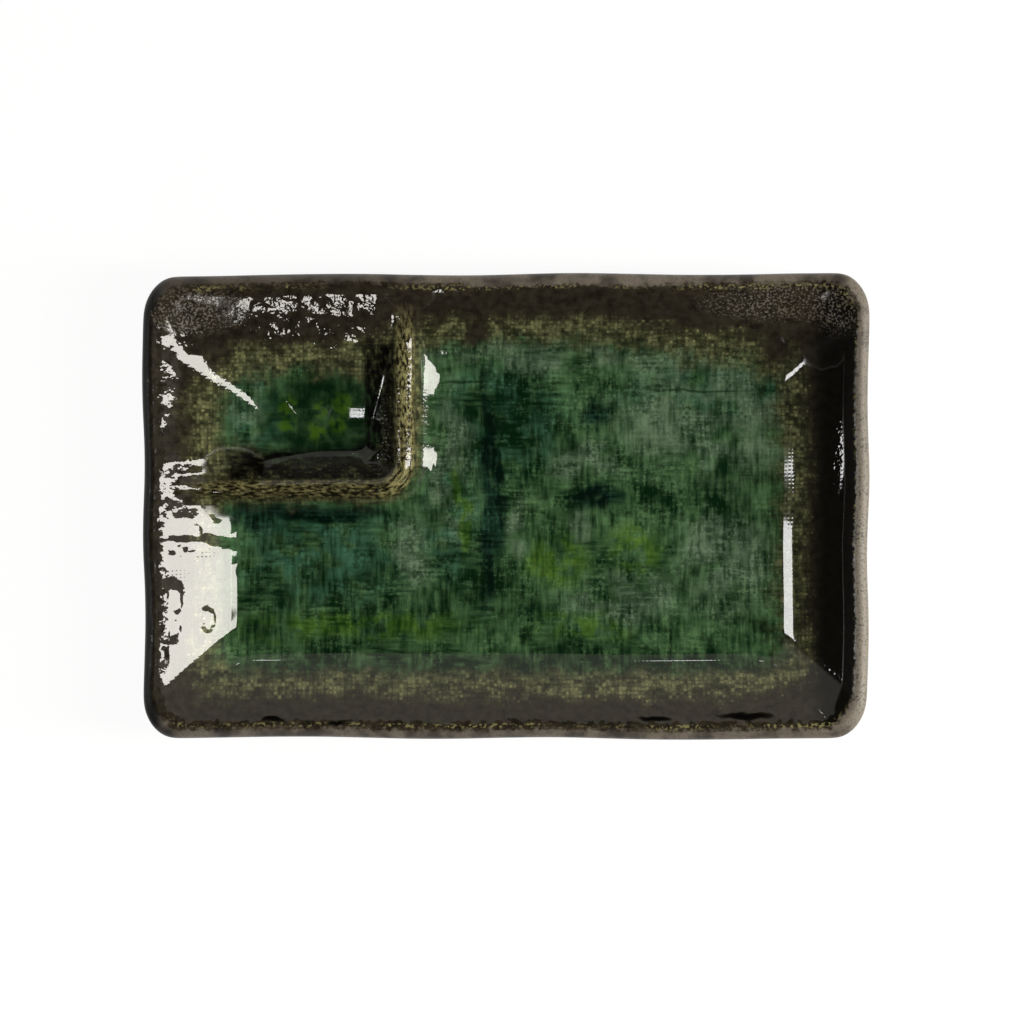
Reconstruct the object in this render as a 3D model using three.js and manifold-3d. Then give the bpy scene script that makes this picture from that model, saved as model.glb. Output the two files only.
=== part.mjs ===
// A rectangular stoneware dip plate: a pressed clay tray with sloping walls, an L-shaped divider that
// fences off a dip well in one corner, a foot ring under the base, and the glaze coats over the clay.
// Millimetres, +Z up. +X runs along the long side, and the dip well lies in the corner at -X and +Y.
// The origin is on the table, under the middle of the plate.
import * as THREE from "three";
import { mergeVertices } from "three/addons/utils/BufferGeometryUtils.js";
import Module from "manifold-3d";

const wasm = await Module();
wasm.setup();

// Driving dimensions: the tray
const PLATE_LENGTH = 220; // along X, over the glazed rim
const PLATE_WIDTH = 141; // along Y, over the glazed rim
const PLATE_HEIGHT = 26; // from the table to the top of the glazed rim
const RIM_CORNER_RADIUS = 12; // plan radius of the outline's corners
const FLOOR_CORNER_RADIUS = 7; // plan radius of the flat floor's corners
const WALL_SLOPE = 38; // degrees above the horizontal
const CLAY_WALL = 3.6; // thickness of the pressed slab in the walls
const CLAY_FLOOR = 3.8; // thickness of the pressed slab in the floor
const WELL_FILLET = 16; // radius of the glazed hollow between floor and wall
const BASE_FILLET = 5; // radius of the glazed edge between wall and base
const CORNER_STRAY = 0.6; // how far hand pressing moves opposite corners of the rim, in plan
const EDGE_STRAY = 0.35; // depth of the ripples along the rim, in plan

// Driving dimensions: the glaze coats
const GLAZE = 0.6; // thickness of a fired coat
const SEAT_GAP = 0.3; // clearance between pieces that the kiln fuses
const GREEN_RISE = 0.8; // height of the green glaze's edge above the top of the hollow

// Driving dimensions: the foot ring
const FOOT_HEIGHT = 3; // from the table to the glazed base
const FOOT_WIDTH = 6;
const FOOT_SETBACK = 2; // from the edge of the flat base to the foot
const FOOT_BEVEL = 1; // where the foot meets the table

// Driving dimensions: the divider
const DIP_LENGTH = 79; // from the short edge of the rim to the divider's crest
const DIP_WIDTH = 64.5; // from the long edge of the rim to the divider's crest
const CREST_HEIGHT = 9; // of the glazed divider above the glazed floor
const CREST_RADIUS = 3; // of the glazed crest, in section
const CREST_CORNER_RADIUS = 8; // of the crest line, in plan
const INNER_CORNER_RADIUS = 2; // least plan radius on the dip well's side
const DIP_SIDE_SLOPE = 42; // degrees above the horizontal
const WELL_SIDE_SLOPE = 67; // degrees above the horizontal
const FLANK_FILLET = 8; // radius of the glazed hollow between floor and divider

// Facets
const CORNER_STEPS = 5;
const LONG_SIDE_STEPS = 14;
const SHORT_SIDE_STEPS = 8;
const FILLET_STEPS = 5;
const BASE_STEPS = 3;
const LIP_STEPS = 6;
const CREST_STEPS = 6;
const FLANK_STEPS = 4;
const CREST_CORNER_STEPS = 9;

// Colours
const CLAY_COLOUR = 0x8a7763;
const GREEN_COLOUR = 0x1f4a2c;
const OLIVE_COLOUR = 0x4a4520;
const BROWN_COLOUR = 0x2b2722;

// Worked-out levels and places. A depth is a distance below the glazed surface, towards the clay.
const coat = GLAZE + SEAT_GAP;
const lipRadius = CLAY_WALL / 2 + coat;
const baseZ = FOOT_HEIGHT;
const floorZ = baseZ + CLAY_FLOOR + 2 * coat;
const crestCentre = new THREE.Vector2(0, floorZ + CREST_HEIGHT - CREST_RADIUS);
const slope = THREE.MathUtils.degToRad(WALL_SLOPE);
const wallUp = new THREE.Vector2(-Math.cos(slope), Math.sin(slope));
const wallIn = new THREE.Vector2(Math.sin(slope), Math.cos(slope));
const lipCentre = new THREE.Vector2(lipRadius, PLATE_HEIGHT - lipRadius);
const wellFilletCentre = alongWall(lipRadius + WELL_FILLET, floorZ + WELL_FILLET);
const baseFilletCentre = alongWall(BASE_FILLET - lipRadius, baseZ + BASE_FILLET);
const hollowTop = floorZ + WELL_FILLET * (1 - Math.cos(slope));
const greenEdge = alongWall(lipRadius, hollowTop + GREEN_RISE);
const floorInset = wellFilletCentre.x;
const footOuter = baseFilletCentre.x + FOOT_SETBACK;
const footInner = footOuter + FOOT_WIDTH;

// A section point is (inset from the outline, height). This one lies on the line that runs up the wall
// at a distance from the lip's centre, towards the well, where that line passes a height.
function alongWall(distance, height) {
  const start = lipCentre.clone().addScaledVector(wallIn, distance);
  return start.addScaledVector(wallUp, (height - start.y) / wallUp.y);
}

// Points of a circular arc, both ends included
function arc(centre, radius, fromDegrees, toDegrees, steps) {
  return Array.from({ length: steps + 1 }, (_, i) => {
    const angle = THREE.MathUtils.degToRad(THREE.MathUtils.lerp(fromDegrees, toDegrees, i / steps));
    return new THREE.Vector2(Math.cos(angle), Math.sin(angle)).multiplyScalar(radius).add(centre);
  });
}

// The glazed hollow between floor and wall, from the floor outwards
function filletSection(depth) {
  return arc(wellFilletCentre, WELL_FILLET + depth, -90, -90 - WALL_SLOPE, FILLET_STEPS);
}

// The lip, the outer wall and the edge of the base, from the well over the rim and down
function lipSection(depth) {
  return [
    ...arc(lipCentre, lipRadius - depth, 90 - WALL_SLOPE, 270 - WALL_SLOPE, LIP_STEPS),
    ...arc(baseFilletCentre, BASE_FILLET - depth, 270 - WALL_SLOPE, 270, BASE_STEPS),
  ];
}

// Centre of the hollow between the floor and one flank of the divider. The side is 1 towards the main
// well and -1 towards the dip well.
function flankCentre(side, flankSlope) {
  const angle = THREE.MathUtils.degToRad(flankSlope);
  const out = new THREE.Vector2(side * Math.sin(angle), Math.cos(angle));
  const down = new THREE.Vector2(side * Math.cos(angle), -Math.sin(angle));
  const start = crestCentre.clone().addScaledVector(out, CREST_RADIUS + FLANK_FILLET);
  return start.addScaledVector(down, (start.y - floorZ - FLANK_FILLET) / Math.sin(angle));
}

// The divider's section, as (distance from the crest line towards the main well, height): a hollow, a
// flank and a round crest, then the other flank and hollow. Its feet run down past the clay floor, where
// the cavity trims them.
function ridgeSection(depth) {
  const dipCentre = flankCentre(-1, DIP_SIDE_SLOPE);
  const wellCentre = flankCentre(1, WELL_SIDE_SLOPE);
  const hollow = FLANK_FILLET + depth;
  return [
    new THREE.Vector2(dipCentre.x, baseZ),
    ...arc(dipCentre, hollow, 270, 270 + DIP_SIDE_SLOPE, FLANK_STEPS),
    ...arc(crestCentre, CREST_RADIUS - depth, 90 + DIP_SIDE_SLOPE, 90 - WELL_SIDE_SLOPE, CREST_STEPS),
    ...arc(wellCentre, hollow, 270 - WELL_SIDE_SLOPE, 270, FLANK_STEPS),
    new THREE.Vector2(wellCentre.x, baseZ),
  ];
}

// Plan outline of a rectangle with round corners, anticlockwise from the end of its +X side
function roundedRectangle(halfX, halfY, radius, cornerSteps, longSteps, shortSteps) {
  const quadrants = [[1, 1], [-1, 1], [-1, -1], [1, -1]];
  const corners = quadrants.map(([signX, signY], k) => {
    const centre = new THREE.Vector2(signX * (halfX - radius), signY * (halfY - radius));
    return arc(centre, radius, 90 * k, 90 * (k + 1), cornerSteps);
  });
  return corners.flatMap((corner, k) => {
    const end = corner[cornerSteps];
    const next = corners[(k + 1) % corners.length][0];
    const steps = k % 2 === 0 ? longSteps : shortSteps;
    const side = Array.from({ length: steps - 1 }, (_, i) => end.clone().lerp(next, (i + 1) / steps));
    return [...corner, ...side];
  });
}

// Hand pressing leaves the outline a little out of true, most of all at the rim
function handPressed(point, z) {
  const place = new THREE.Vector2(point.x / (PLATE_LENGTH / 2), point.y / (PLATE_WIDTH / 2));
  const turn = place.angle();
  const corners = CORNER_STRAY * Math.cos(turn - Math.PI / 4);
  const ripples = EDGE_STRAY * Math.sin(10 * turn + Math.PI / 9);
  const stray = (corners + ripples) * (z / PLATE_HEIGHT);
  return new THREE.Vector3(point.x + stray * place.x, point.y + stray * place.y, z);
}

// The loop that a section point sweeps round the tray
function trayRing(section) {
  const share = Math.min(section.x / floorInset, 1);
  const radius = THREE.MathUtils.lerp(RIM_CORNER_RADIUS, FLOOR_CORNER_RADIUS, share);
  const halfX = PLATE_LENGTH / 2 - section.x;
  const halfY = PLATE_WIDTH / 2 - section.x;
  const loop = roundedRectangle(halfX, halfY, radius, CORNER_STEPS, LONG_SIDE_STEPS, SHORT_SIDE_STEPS);
  return loop.map((point) => handPressed(point, section.y));
}

// The loop that a divider section point sweeps. It runs round the tray's own corner, so that only the
// L between the two walls lies inside the tray.
function ridgeRing(section) {
  const radius = Math.max(CREST_CORNER_RADIUS + section.x, INNER_CORNER_RADIUS);
  const halfX = DIP_LENGTH + section.x;
  const halfY = DIP_WIDTH + section.x;
  const loop = roundedRectangle(halfX, halfY, radius, CREST_CORNER_STEPS, 1, 1);
  return loop.map(
    (point) => new THREE.Vector3(point.x - PLATE_LENGTH / 2, point.y + PLATE_WIDTH / 2, section.y),
  );
}

// A closed solid through a list of loops. A hoop joins its last loop to its first, and any other solid
// has a flat cap over each end.
function loft(rings, hoop) {
  const count = rings[0].length;
  const points = rings.flat();
  const indices = [];
  const strips = hoop ? rings.length : rings.length - 1;
  for (let i = 0; i < strips; i++) {
    const here = i * count;
    const there = ((i + 1) % rings.length) * count;
    for (let j = 0; j < count; j++) {
      const next = (j + 1) % count;
      indices.push(here + j, there + j, there + next);
      indices.push(here + j, there + next, here + next);
    }
  }
  if (!hoop) {
    const lastRing = (rings.length - 1) * count;
    const middle = (ring) => ring.reduce((sum, p) => sum.add(p), new THREE.Vector3()).divideScalar(count);
    const topMiddle = points.push(middle(rings[0])) - 1;
    const bottomMiddle = points.push(middle(rings[rings.length - 1])) - 1;
    for (let j = 0; j < count; j++) {
      const next = (j + 1) % count;
      indices.push(topMiddle, j, next);
      indices.push(bottomMiddle, lastRing + next, lastRing + j);
    }
  }
  return new THREE.BufferGeometry().setFromPoints(points).setIndex(indices);
}

const trayLoft = (section, hoop = false) => loft(section.map(trayRing), hoop);

// Between three.js geometry and solids that can be cut and joined
function toSolid(geometry) {
  const merged = mergeVertices(geometry);
  const mesh = new wasm.Mesh({
    numProp: 3,
    vertProperties: merged.getAttribute("position").array,
    triVerts: new Uint32Array(merged.getIndex().array),
  });
  return new wasm.Manifold(mesh);
}

function toGeometry(solid) {
  const mesh = solid.getMesh();
  const geometry = new THREE.BufferGeometry();
  geometry.setAttribute("position", new THREE.BufferAttribute(mesh.vertProperties, 3));
  geometry.setIndex(new THREE.BufferAttribute(mesh.triVerts, 1));
  return geometry;
}

// Clay: the pressed tray, with its floor, four walls and round lip
function trayGeometry() {
  return trayLoft([...filletSection(coat), ...lipSection(coat)]);
}

// The open space over the tray's inner surface at a depth, up to the level of the lip's centre
function cavity(depth) {
  const mouth = alongWall(lipRadius - depth, lipCentre.y);
  return toSolid(trayLoft([mouth, ...filletSection(depth).reverse()]));
}

// The divider's ridge at a depth, as a ring round the tray's corner
function ridge(depth) {
  return toSolid(loft(ridgeSection(depth).map(ridgeRing), true));
}

// Clay: the divider, luted to the floor and to two walls
function dividerGeometry() {
  return toGeometry(ridge(coat).intersect(cavity(coat - SEAT_GAP)));
}

// Clay: the ring that the plate stands on, left bare
function footGeometry() {
  const top = baseZ + coat - SEAT_GAP;
  const section = [
    new THREE.Vector2(footInner, top),
    new THREE.Vector2(footOuter, top),
    new THREE.Vector2(footOuter, FOOT_BEVEL),
    new THREE.Vector2(footOuter + FOOT_BEVEL, 0),
    new THREE.Vector2(footInner - FOOT_BEVEL, 0),
    new THREE.Vector2(footInner, FOOT_BEVEL),
  ];
  return trayLoft(section, true);
}

// Glaze: the green coat on the floor and the hollow round it, which the divider parts in two
function greenGeometries() {
  const upperEdge = greenEdge.clone().addScaledVector(wallUp, -SEAT_GAP);
  const lowerEdge = upperEdge.clone().addScaledVector(wallIn, -GLAZE);
  const section = [...filletSection(0), upperEdge, lowerEdge, ...filletSection(GLAZE).reverse()];
  const parted = toSolid(trayLoft(section)).subtract(ridge(GLAZE)).decompose();
  const [main, dip] = parted.sort((a, b) => b.volume() - a.volume());
  return { main: toGeometry(main), dip: toGeometry(dip) };
}

// Glaze: the brown coat on the walls, from the green line over the rim to the foot, notched where the
// divider meets the clay
function wallGlazeGeometry() {
  const side = (depth) => [
    greenEdge.clone().addScaledVector(wallIn, -depth),
    ...lipSection(depth),
    new THREE.Vector2(footOuter - SEAT_GAP, baseZ + depth),
  ];
  const section = [...side(0), ...side(GLAZE).reverse()];
  const notch = ridge(GLAZE).intersect(cavity(coat));
  return toGeometry(toSolid(trayLoft(section, true)).subtract(notch));
}

// Glaze: the coat over the divider, down to the coats on the floor and walls
function dividerGlazeGeometry() {
  return toGeometry(ridge(0).subtract(ridge(GLAZE)).intersect(cavity(-SEAT_GAP)));
}

// Glaze: the coat under the base, inside the foot ring
function baseGlazeGeometry() {
  const edge = footInner + SEAT_GAP;
  return trayLoft([new THREE.Vector2(edge, baseZ + GLAZE), new THREE.Vector2(edge, baseZ)]);
}

function piece(name, geometry, color, roughness) {
  const material = new THREE.MeshStandardMaterial({ color, roughness, metalness: 0 });
  const mesh = new THREE.Mesh(geometry, material);
  mesh.name = name;
  return mesh;
}

const green = greenGeometries();
const plate = new THREE.Group();
plate.add(
  piece("plate_body", trayGeometry(), CLAY_COLOUR, 0.9),
  piece("divider_wall", dividerGeometry(), CLAY_COLOUR, 0.9),
  piece("foot_ring", footGeometry(), CLAY_COLOUR, 0.9),
  piece("main_well_glaze", green.main, GREEN_COLOUR, 0.1),
  piece("dip_well_glaze", green.dip, GREEN_COLOUR, 0.1),
  piece("divider_glaze", dividerGlazeGeometry(), OLIVE_COLOUR, 0.15),
  piece("wall_glaze", wallGlazeGeometry(), BROWN_COLOUR, 0.3),
  piece("base_glaze", baseGlazeGeometry(), BROWN_COLOUR, 0.35),
);

// Hand pressing shifts the rim, so the plate is centred on its own footprint
const footprint = new THREE.Box3().setFromObject(plate).getCenter(new THREE.Vector3());
plate.position.set(-footprint.x, -footprint.y, 0);

export default plate;
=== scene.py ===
"""Dresses the dip plate with a fine glaze coat and a bare foot ring, and lights it in a studio.

Metres, +Z up, in the frame of the solids. The dip well lies in the corner at -X and +Y.
"""
import math

import bpy
import numpy as np
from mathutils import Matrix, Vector, noise


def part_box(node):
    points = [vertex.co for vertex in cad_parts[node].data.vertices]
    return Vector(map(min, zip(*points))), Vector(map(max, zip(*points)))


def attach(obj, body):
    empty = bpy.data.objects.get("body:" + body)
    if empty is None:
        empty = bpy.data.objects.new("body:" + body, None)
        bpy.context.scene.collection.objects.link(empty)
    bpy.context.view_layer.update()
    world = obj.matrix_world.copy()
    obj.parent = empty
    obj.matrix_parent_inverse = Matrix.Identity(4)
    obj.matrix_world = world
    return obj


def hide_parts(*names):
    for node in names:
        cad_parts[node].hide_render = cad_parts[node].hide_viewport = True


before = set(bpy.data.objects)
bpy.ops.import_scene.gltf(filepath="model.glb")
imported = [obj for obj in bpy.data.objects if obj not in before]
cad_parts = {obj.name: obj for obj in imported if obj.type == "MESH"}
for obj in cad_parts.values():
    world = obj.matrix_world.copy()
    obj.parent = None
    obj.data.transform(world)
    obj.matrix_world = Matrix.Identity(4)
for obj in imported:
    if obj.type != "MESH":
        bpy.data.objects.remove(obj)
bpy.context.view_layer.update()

# Sizes of the tray, as the solids have them
MM = 0.001
PLATE_LENGTH = 220 * MM
PLATE_WIDTH = 141 * MM
FLOOR_CORNER_RADIUS = 7 * MM
WALL_SLOPE = math.radians(38)
WELL_FILLET = 16 * MM
BASE_FILLET = 5 * MM
LIP_RADIUS = 2.7 * MM
CORNER_STRAY = 0.6 * MM
STRAY_CORNER = math.pi / 4
EDGE_STRAY = 0.35 * MM
RIPPLES = 10
RIPPLE_START = math.pi / 9

# Sizes of the divider, as the solids have them
DIP_LENGTH = 79 * MM
DIP_WIDTH = 64.5 * MM
CREST_RADIUS = 3 * MM
CREST_CORNER_RADIUS = 8 * MM
FLANK_FILLET = 8 * MM
DIP_SIDE_SLOPE = math.radians(42)
WELL_SIDE_SLOPE = math.radians(67)

# Levels, from the solids
base_low, base_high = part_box("base_glaze")
GLAZE = base_high.z - base_low.z
BASE_Z = base_low.z
FLOOR_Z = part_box("main_well_glaze")[0].z + GLAZE
RIM_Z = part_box("wall_glaze")[1].z
CREST_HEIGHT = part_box("divider_glaze")[1].z - FLOOR_Z

# How finely the coat is modelled
FLOOR_CELLS = (60, 30)
FILLET_STEPS = 5
WALL_STEPS = 4
LIP_STEPS = 6
OUTER_STEPS = 2
BASE_STEPS = 2
BASE_RINGS = (0.75, 0.4)
SMOOTH_LEVELS = 2

# The divider as pressed: how it joins the tray, wanders, and flares towards the upper wall
JOIN_POWER = 4
CREST_WANDER = (0.5 * MM, 28 * MM)
CREST_REACH = 30 * MM
RIDGE_SHOWS = (0.4 * MM, 2 * MM)
INNER_CORNER = 6 * MM
FLANK_WIDTH = 0.92
CORNER_FLARE = (0.18, 4 * MM, 20 * MM)
WALL_FLARE = (0.32, 33 * MM, 54 * MM)
BELOW_LIP = (1 * MM, 6 * MM)

# The dip well's own walls: the hollow, where it starts, and the sweep at the corner
DIP_FILLET = 100 * MM
DIP_SIDE = (1 * MM, -9 * MM)
DIP_WALL_INSET = 5 * MM
SWEEP_WIDTH = 20 * MM
SWEEP_NARROWING = 0.36
SWEEP_LEAST = 1 * MM
SWEEP_STARTS = (4 * MM, 12 * MM)

# Soft waves in the coat, each its height and its length, and how far they keep from lip and floor
SLOW_WAVE = (0.10 * MM, 34 * MM)
QUICK_WAVE = (0.02 * MM, 11 * MM)
RIM_WAVE = (0.06 * MM, 12 * MM)
WAVES_BELOW_LIP = (0.2 * MM, 3 * MM)
RIM_WAVE_ABOVE_FLOOR = 4 * MM
RIM_WAVE_BELOW_RIM = 6 * MM

# How far apart the noise of two seeds lies
SEED_STEP = (7.3, 3.1, 5.7)

# The bare foot's rubbed edges
WELD_DISTANCE = 0.01 * MM
FOOT_ROUNDING = 0.5 * MM
FOOT_STEPS = 3
SHARP_EDGE = math.radians(30)
SMOOTH_EDGE = math.radians(35)


# Modelling helpers

def deselect_all():
    bpy.ops.object.select_all(action="DESELECT")


def apply_modifier(piece, kind, **settings):
    """Adds a modifier with its settings to the active piece and applies it."""
    modifier = piece.modifiers.new(kind.title(), kind)
    for name, value in settings.items():
        setattr(modifier, name, value)
    bpy.ops.object.modifier_apply(modifier=modifier.name)


def read_points(mesh):
    points = np.empty(len(mesh.vertices) * 3)
    mesh.vertices.foreach_get("co", points)
    return points.reshape(-1, 3)


def write_points(mesh, points):
    mesh.vertices.foreach_set("co", points.ravel())
    mesh.update()


def read_normals(mesh):
    normals = np.empty(len(mesh.vertices) * 3)
    mesh.vertices.foreach_get("normal", normals)
    return normals.reshape(-1, 3)


def write_attribute(mesh, name, values):
    """Keeps one number for each point, for the finish to read."""
    kept = mesh.attributes.new(name, "FLOAT", "POINT")
    kept.data.foreach_set("value", values.astype(np.float32))


def soft_step(low, high, value):
    share = np.clip((value - low) / (high - low), 0, 1)
    return share * share * (3 - 2 * share)


def cloud(points, size, seed):
    """Soft noise from -1 to 1 at each point, with lumps about one size across."""
    shift = Vector([seed * step for step in SEED_STEP])
    return np.array([noise.noise(Vector(p) / size + shift) for p in points])


# The tray's section, as inset from the outline and height

WALL_UP = np.array([-math.cos(WALL_SLOPE), math.sin(WALL_SLOPE)])
WALL_IN = np.array([math.sin(WALL_SLOPE), math.cos(WALL_SLOPE)])
LIP_CENTRE = np.array([LIP_RADIUS, RIM_Z - LIP_RADIUS])


def along_wall(distance, height):
    """The point at a height on the line up the wall that passes the lip's centre at a distance."""
    start = LIP_CENTRE + WALL_IN * distance
    return start + WALL_UP * ((height - start[1]) / WALL_UP[1])


HOLLOW_CENTRE = along_wall(LIP_RADIUS + WELL_FILLET, FLOOR_Z + WELL_FILLET)


def arc(centre, radius, start, end, steps):
    turns = np.radians(np.linspace(start, end, steps + 1))
    return [centre + radius * np.array([math.cos(t), math.sin(t)]) for t in turns]


def between(start, end, steps):
    """The points that part a straight stretch into steps, without its ends."""
    return [start + (end - start) * i / steps for i in range(1, steps)]


def tray_section():
    """From the floor's edge up the well's wall, over the lip, down the outside and in to the base."""
    slope = math.degrees(WALL_SLOPE)
    base = along_wall(BASE_FILLET - LIP_RADIUS, BASE_Z + BASE_FILLET)
    hollow = arc(HOLLOW_CENTRE, WELL_FILLET, -90, -90 - slope, FILLET_STEPS)
    lip = arc(LIP_CENTRE, LIP_RADIUS, 90 - slope, 270 - slope, LIP_STEPS)
    edge = arc(base, BASE_FILLET, 270 - slope, 270, BASE_STEPS)
    inner = between(hollow[-1], lip[0], WALL_STEPS)
    outer = between(lip[-1], edge[0], OUTER_STEPS)
    reach = PLATE_WIDTH / 2 - edge[-1][0]
    under = [np.array([PLATE_WIDTH / 2 - reach * share, BASE_Z]) for share in BASE_RINGS]
    return hollow + inner + lip + outer + edge + under


def wall_rise(inset, fillet):
    """Height of the well's wall over the floor at an inset from the outline, for a hollow's radius."""
    floor_edge = HOLLOW_CENTRE[0] + (fillet - WELL_FILLET) * math.tan(WALL_SLOPE / 2)
    past = np.maximum(floor_edge - inset, 0)
    in_hollow = np.minimum(past, fillet * math.sin(WALL_SLOPE))
    hollow = fillet - np.sqrt(fillet**2 - in_hollow**2)
    return hollow + (past - in_hollow) * math.tan(WALL_SLOPE)


# The glaze coat

def round_corners(mesh, half_x, half_y, radius):
    """Draws the square corners of a flat grid in to quarter circles."""
    points = read_points(mesh)
    across = np.clip((np.abs(points[:, 0]) - half_x + radius) / radius, 0, 1)
    along = np.clip((np.abs(points[:, 1]) - half_y + radius) / radius, 0, 1)
    pull_x = across * (1 - np.sqrt(1 - along**2 / 2)) * radius
    pull_y = along * (1 - np.sqrt(1 - across**2 / 2)) * radius
    points[:, 0] -= np.sign(points[:, 0]) * pull_x
    points[:, 1] -= np.sign(points[:, 1]) * pull_y
    write_points(mesh, points)


def grow_ring(before, after):
    """Extrudes the selected ring of edges from one point of the section to the next."""
    bpy.ops.mesh.extrude_region_move()
    scale_x = (PLATE_LENGTH / 2 - after[0]) / (PLATE_LENGTH / 2 - before[0])
    scale_y = (PLATE_WIDTH / 2 - after[0]) / (PLATE_WIDTH / 2 - before[0])
    bpy.ops.transform.resize(value=(scale_x, scale_y, 1), center_override=(0, 0, 0))
    bpy.ops.transform.translate(value=(0, 0, after[1] - before[1]))


def pressed_tray():
    """The closed skin of the tray: a floor, walls drawn up ring by ring, a lip, and a flat base."""
    section = tray_section()
    half_x = PLATE_LENGTH / 2 - section[0][0]
    half_y = PLATE_WIDTH / 2 - section[0][0]
    deselect_all()
    bpy.ops.mesh.primitive_grid_add(
        x_subdivisions=FLOOR_CELLS[0], y_subdivisions=FLOOR_CELLS[1], size=2, location=(0, 0, FLOOR_Z)
    )
    tray = bpy.context.object
    tray.name = "glaze_coat"
    tray.scale = (half_x, half_y, 1)
    bpy.ops.object.transform_apply(location=True, rotation=True, scale=True)
    round_corners(tray.data, half_x, half_y, FLOOR_CORNER_RADIUS)
    bpy.ops.object.mode_set(mode="EDIT")
    bpy.ops.mesh.select_mode(type="EDGE")
    bpy.ops.mesh.select_all(action="DESELECT")
    bpy.ops.mesh.select_non_manifold()
    for before, after in zip(section, section[1:]):
        grow_ring(before, after)
    bpy.ops.mesh.edge_face_add()
    bpy.ops.mesh.select_all(action="SELECT")
    bpy.ops.mesh.normals_make_consistent(inside=False)
    bpy.ops.object.mode_set(mode="OBJECT")
    apply_modifier(
        tray, "SUBSURF", levels=SMOOTH_LEVELS, render_levels=SMOOTH_LEVELS, use_limit_surface=False
    )
    return tray


def crest_distance(points):
    """Plan distance from the divider's crest line, positive towards the main well."""
    beyond_x = np.abs(points[:, 0] + PLATE_LENGTH / 2) - DIP_LENGTH + CREST_CORNER_RADIUS
    beyond_y = np.abs(points[:, 1] - PLATE_WIDTH / 2) - DIP_WIDTH + CREST_CORNER_RADIUS
    outside = np.hypot(np.maximum(beyond_x, 0), np.maximum(beyond_y, 0))
    share = np.clip(0.5 + 0.5 * (beyond_x - beyond_y) / INNER_CORNER, 0, 1)
    inside = beyond_y + (beyond_x - beyond_y) * share + INNER_CORNER * share * (1 - share)
    return outside + np.minimum(inside, 0) - CREST_CORNER_RADIUS


def flank_rise(run, slope):
    """Height of one side of the divider over the floor: a round crest, a flank, then a hollow."""
    reach = CREST_RADIUS + FLANK_FILLET
    drop = CREST_HEIGHT - CREST_RADIUS + reach * math.cos(slope) - FLANK_FILLET
    toe = reach * math.sin(slope) + drop / math.tan(slope)
    crest_end = CREST_RADIUS * math.sin(slope)
    hollow_start = toe - FLANK_FILLET * math.sin(slope)
    crest = CREST_HEIGHT - CREST_RADIUS + np.sqrt(np.maximum(CREST_RADIUS**2 - run**2, 0))
    crest_low = CREST_HEIGHT - CREST_RADIUS * (1 - math.cos(slope))
    flank = crest_low - (run - crest_end) * math.tan(slope)
    short = np.clip(toe - run, 0, FLANK_FILLET)
    hollow = FLANK_FILLET - np.sqrt(FLANK_FILLET**2 - short**2)
    return np.select([run < crest_end, run < hollow_start], [crest, flank], hollow)


def outward(points, normals):
    """True where the coat faces away from the wells: outside, on the base and on half the lip."""
    corner = 4 * LIP_RADIUS
    past_x = np.maximum(np.abs(points[:, 0]) - PLATE_LENGTH / 2 + corner, 0) * np.sign(points[:, 0])
    past_y = np.maximum(np.abs(points[:, 1]) - PLATE_WIDTH / 2 + corner, 0) * np.sign(points[:, 1])
    facing = normals[:, 0] * past_x + normals[:, 1] * past_y
    return (facing > 0) | (normals[:, 2] < 0)


def dip_well_rise(points):
    """The dip well's own walls: a wide hollow, and a sweep at their corner that narrows downwards."""
    inset_x = points[:, 0] + PLATE_LENGTH / 2
    inset_y = PLATE_WIDTH / 2 - points[:, 1]
    nearer = np.minimum(inset_x, inset_y)
    sweep = np.maximum(SWEEP_WIDTH - SWEEP_NARROWING * nearer, SWEEP_LEAST)
    sweep *= soft_step(*SWEEP_STARTS, nearer) + 0.001
    share = np.maximum(sweep - np.abs(inset_x - inset_y), 0) / sweep
    rise = wall_rise(nearer - share * share * sweep / 4, DIP_FILLET)
    return np.where(nearer > DIP_WALL_INSET, rise, 0)


def raise_divider(mesh):
    """Draws the divider up out of the well, and keeps what the finish needs to know of each point."""
    points = read_points(mesh)
    outer = outward(points, read_normals(mesh))
    wander = CREST_WANDER[0] * cloud(points * (1, 1, 0), CREST_WANDER[1], 3)
    distance = crest_distance(points) + wander
    dip_side = flank_rise(np.maximum(-distance, 0), DIP_SIDE_SLOPE)
    width = FLANK_WIDTH
    for gain, low, high in (CORNER_FLARE, WALL_FLARE):
        width = width + gain * soft_step(low, high, points[:, 1])
    well_side = flank_rise(np.maximum(distance, 0) / width, WELL_SIDE_SLOPE)
    tray = np.maximum(points[:, 2] - FLOOR_Z, 0)
    in_dip = soft_step(*DIP_SIDE, distance)
    tray += np.maximum(dip_well_rise(points) - tray, 0) * in_dip
    lip_rise = RIM_Z - FLOOR_Z
    below_lip = soft_step(lip_rise - BELOW_LIP[0], lip_rise - BELOW_LIP[1], tray)
    ridge = np.where(distance < 0, dip_side, well_side) * below_lip
    joined = (tray**JOIN_POWER + ridge**JOIN_POWER) ** (1 / JOIN_POWER)
    share = ridge**JOIN_POWER / np.maximum(joined**JOIN_POWER, 1e-20)
    share *= soft_step(*RIDGE_SHOWS, ridge)
    rise = np.where(outer, lip_rise + RIM_Z - points[:, 2], joined)
    points[:, 2] = np.where(outer, points[:, 2], FLOOR_Z + joined)
    write_points(mesh, points)
    write_attribute(mesh, "rise", rise / MM)
    write_attribute(mesh, "crest", np.clip(distance, -CREST_REACH, CREST_REACH) / MM)
    write_attribute(mesh, "ridge", np.where(outer, 0, share))


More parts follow.
